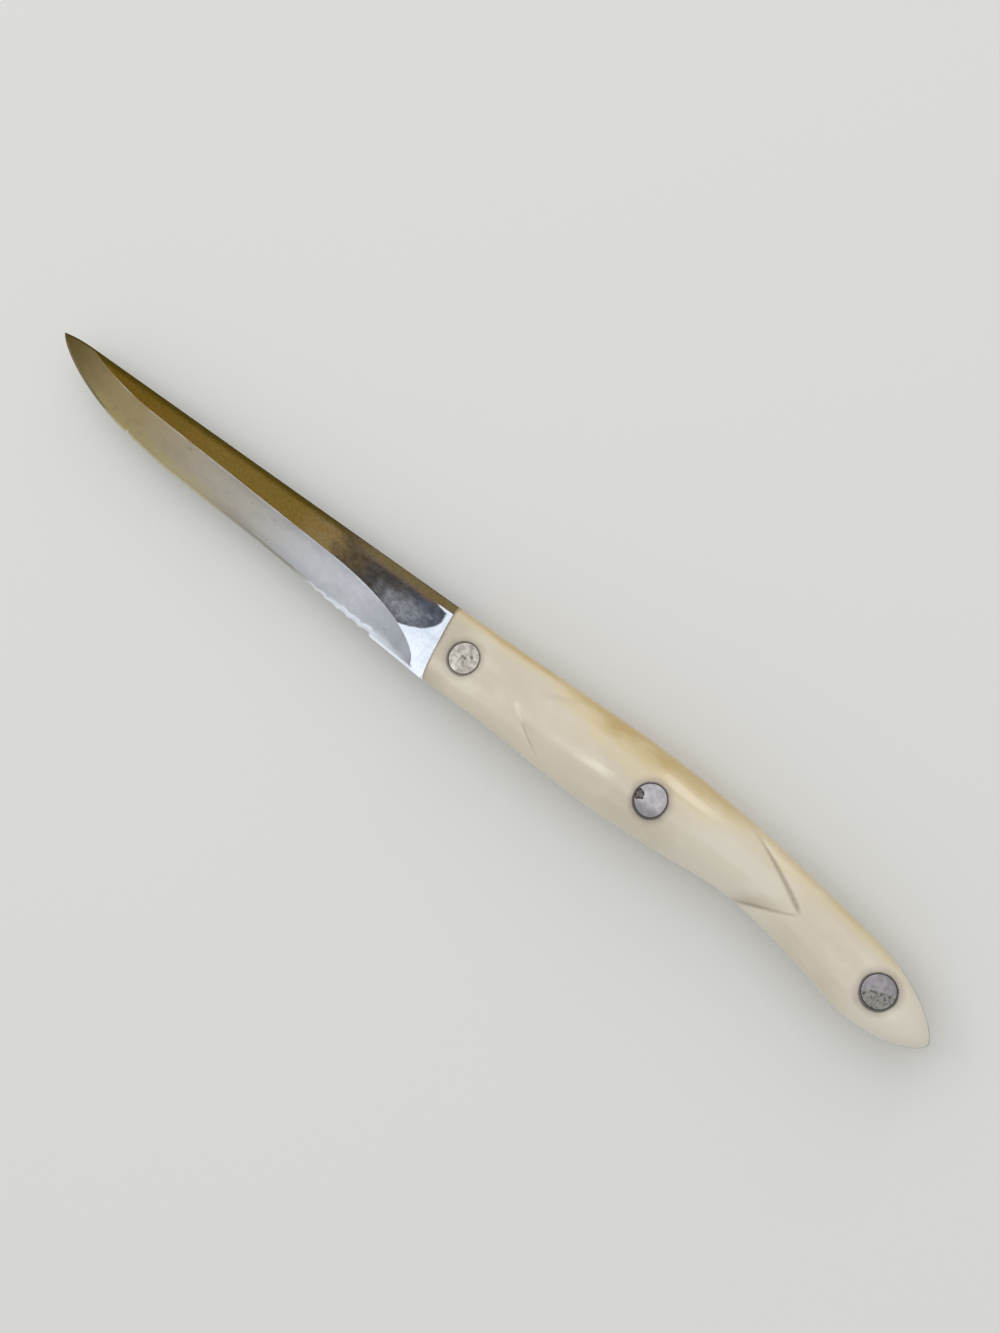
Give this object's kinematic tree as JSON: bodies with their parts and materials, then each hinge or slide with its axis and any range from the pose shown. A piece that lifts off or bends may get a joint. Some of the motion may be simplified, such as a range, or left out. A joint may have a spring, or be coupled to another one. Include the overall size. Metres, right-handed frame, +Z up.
{
  "type": "trimming knife",
  "caption": "Slim kitchen trimming knife with a straight-backed, part-serrated steel blade and full tang, held between pearl resin scales with a palm swell by flush rivets",
  "frame": {"origin": "on the table plane under the middle of the knife's bounding box, with the knife lying on its right side", "axes": "+X runs from the tip to the butt, +Y from the cutting edge to the spine, +Z up out of the left face"},
  "size_m": [0.251, 0.022, 0.0175],
  "materials": {
    "blade_steel": "polished flats with brown heat and age tint, satin ground bevels",
    "handle_resin": "worn semi-gloss cream pearl resin, yellowed along the spine",
    "rivet_metal": "worn satin nickel silver with dark pits"
  },
  "bodies": {
    "root": {"blade": "blade_steel", "left_scale": "handle_resin", "right_scale": "handle_resin", "front_rivet_sleeve": "rivet_metal", "front_rivet_pin": "rivet_metal", "middle_rivet_sleeve": "rivet_metal", "middle_rivet_pin": "rivet_metal", "rear_rivet_sleeve": "rivet_metal", "rear_rivet_pin": "rivet_metal"}
  },
  "joints": []
}
